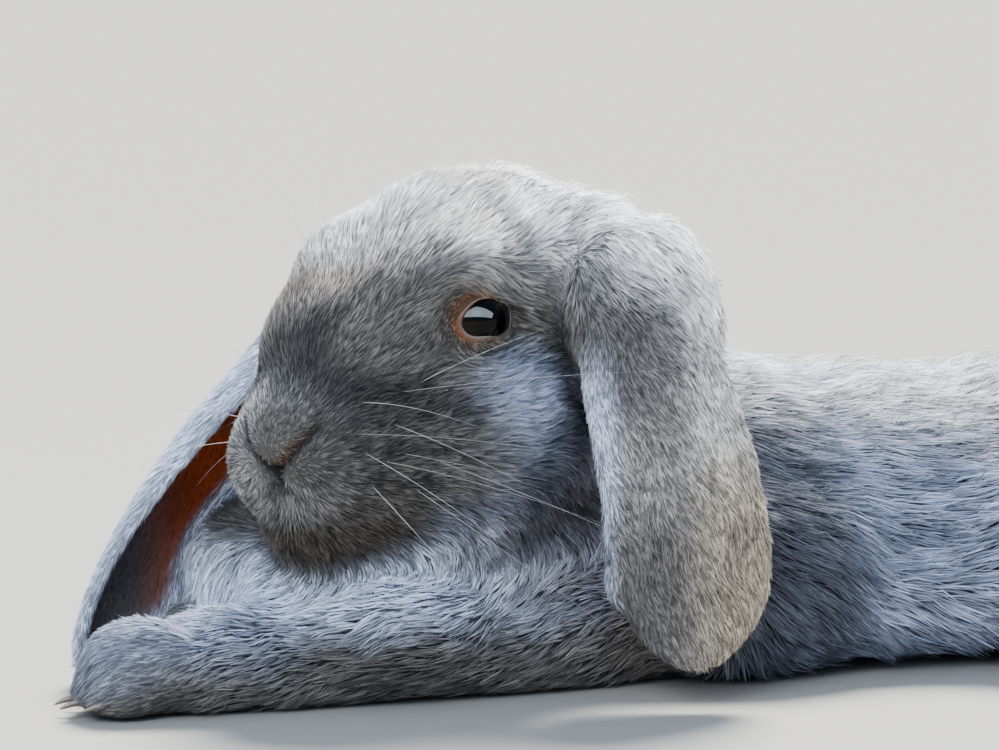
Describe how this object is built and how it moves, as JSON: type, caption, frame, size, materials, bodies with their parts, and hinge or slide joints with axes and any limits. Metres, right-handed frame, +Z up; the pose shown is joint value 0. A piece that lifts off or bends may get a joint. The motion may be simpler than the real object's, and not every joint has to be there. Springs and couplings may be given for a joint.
{
  "type": "rabbit",
  "caption": "Life-size lop-eared rabbit lying on its breast, head raised and turned to its left, ears hanging, forelegs forward, hind legs tucked at its sides.",
  "frame": {"origin": "middle of the bounding box's foot print, at the floor the animal lies on", "axes": "+X towards the rump, along the longest side; +Y towards the animal's right side; +Z up"},
  "size_m": [0.4366, 0.1966, 0.1384],
  "materials": {
    "fur": "soft matt coat, blue-grey",
    "eye": "wet gloss, dark",
    "claw": "satin horn"
  },
  "bodies": {
    "root": {"head": "fur", "neck": "fur", "trunk": "fur", "tail": "fur", "ear_left": "fur", "ear_right": "fur", "foreleg_left": "fur", "foreleg_right": "fur", "forepaw_left": "fur", "forepaw_right": "fur", "hindleg_left": "fur", "hindleg_right": "fur", "hindfoot_left": "fur", "hindfoot_right": "fur", "eye_left": "eye", "eye_right": "eye", "claw_foreleg_left_1": "claw", "claw_foreleg_left_2": "claw", "claw_foreleg_left_3": "claw", "claw_foreleg_left_4": "claw", "claw_foreleg_right_1": "claw", "claw_foreleg_right_2": "claw", "claw_foreleg_right_3": "claw", "claw_foreleg_right_4": "claw", "claw_hindfoot_left_1": "claw", "claw_hindfoot_left_2": "claw", "claw_hindfoot_left_3": "claw", "claw_hindfoot_left_4": "claw", "claw_hindfoot_right_1": "claw", "claw_hindfoot_right_2": "claw", "claw_hindfoot_right_3": "claw", "claw_hindfoot_right_4": "claw"}
  },
  "joints": []
}
